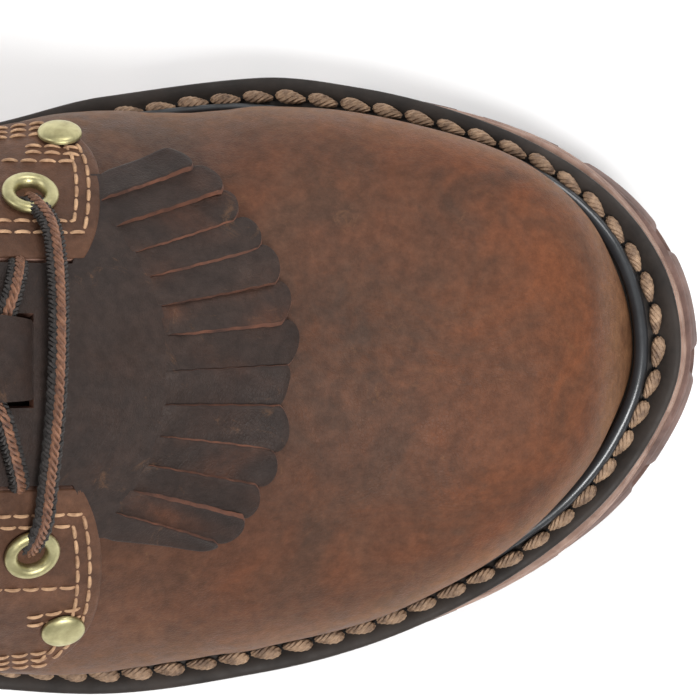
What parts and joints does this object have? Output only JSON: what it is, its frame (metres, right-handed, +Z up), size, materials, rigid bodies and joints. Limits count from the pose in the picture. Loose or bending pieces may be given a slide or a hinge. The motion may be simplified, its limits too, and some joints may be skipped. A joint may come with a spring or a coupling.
{
  "type": "work boot",
  "caption": "Lace-up leather work boot for the right foot, with a fringed false tongue, stitched welt, lugged sole and raised heel.",
  "frame": {"origin": "middle of the boot's bounding box in plan, on the floor that it stands on", "axes": "+X to the toe, +Y to the medial side (the wearer's left, for this right boot), +Z up"},
  "size_m": [0.3132, 0.1156, 0.2632],
  "materials": {
    "upper_leather": "brown oiled pull-up leather, waxy, with lighter and redder patches",
    "tongue_leather": "dark grey-brown oiled leather with raw reddish cut edges",
    "lace_cord": "waxed braid in black and copper brown",
    "eyelet_brass": "pale antique brass, rolled",
    "rivet_brass": "pale antique brass, domed",
    "bead": "glossy black",
    "welt_leather": "smooth, nearly black, burnished",
    "midsole_layer": "worn brown edge",
    "insole_leather": "pale unfinished leather",
    "outsole_rubber": "matt black-brown rubber with dust"
  },
  "bodies": {
    "root": {"eyelet_medial_1": "eyelet_brass", "eyelet_medial_2": "eyelet_brass", "eyelet_medial_3": "eyelet_brass", "eyelet_medial_4": "eyelet_brass", "eyelet_medial_5": "eyelet_brass", "eyelet_medial_6": "eyelet_brass", "eyelet_medial_7": "eyelet_brass", "eyelet_medial_8": "eyelet_brass", "rivet_medial": "rivet_brass", "eyelet_lateral_1": "eyelet_brass", "eyelet_lateral_2": "eyelet_brass", "eyelet_lateral_3": "eyelet_brass", "eyelet_lateral_4": "eyelet_brass", "eyelet_lateral_5": "eyelet_brass", "eyelet_lateral_6": "eyelet_brass", "eyelet_lateral_7": "eyelet_brass", "eyelet_lateral_8": "eyelet_brass", "rivet_lateral": "rivet_brass", "upper": "upper_leather", "quarter_medial": "upper_leather", "quarter_lateral": "upper_leather", "heel_counter": "upper_leather", "back_stay": "upper_leather", "collar_band": "upper_leather", "tongue": "tongue_leather", "fringe": "tongue_leather", "lace": "lace_cord", "welt_bead": "bead", "welt": "welt_leather", "midsole": "midsole_layer", "insole": "insole_leather", "outsole": "outsole_rubber", "heel": "outsole_rubber"}
  },
  "joints": []
}
